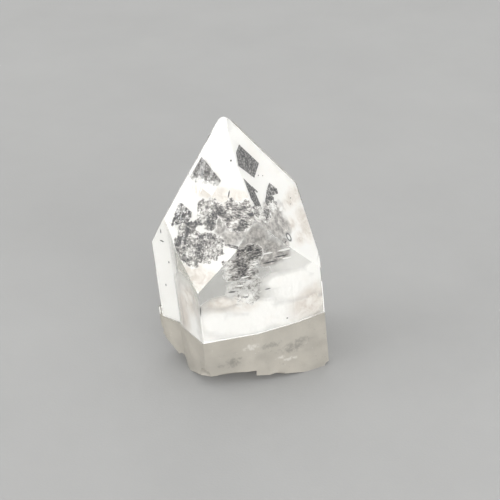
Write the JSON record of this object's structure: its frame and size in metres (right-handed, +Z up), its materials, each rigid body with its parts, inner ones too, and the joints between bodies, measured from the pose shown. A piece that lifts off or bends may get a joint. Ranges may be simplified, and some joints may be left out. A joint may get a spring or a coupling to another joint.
{
  "type": "apophyllite point",
  "caption": "Clear natural crystal: a leaning square prism with a four-sided point, a smaller side growth and a broken flat foot to stand on.",
  "frame": {"origin": "under the middle of the crystal's outline, on the surface that its foot stands on", "axes": "+Z up, square to the surface it stands on and close to the crystal's long axis, which leans 4.9 degrees towards -X; -Y towards the front, where the prism's front corner and the bright front point face are; +X to the right seen from the front"},
  "size_m": [0.0258, 0.0196, 0.0384],
  "materials": {
    "apophyllite": "clear with inner veils, smooth glossy faces, a cloudy grey foot and slightly worn edges"
  },
  "bodies": {
    "root": {"crystal": "apophyllite"}
  },
  "joints": []
}
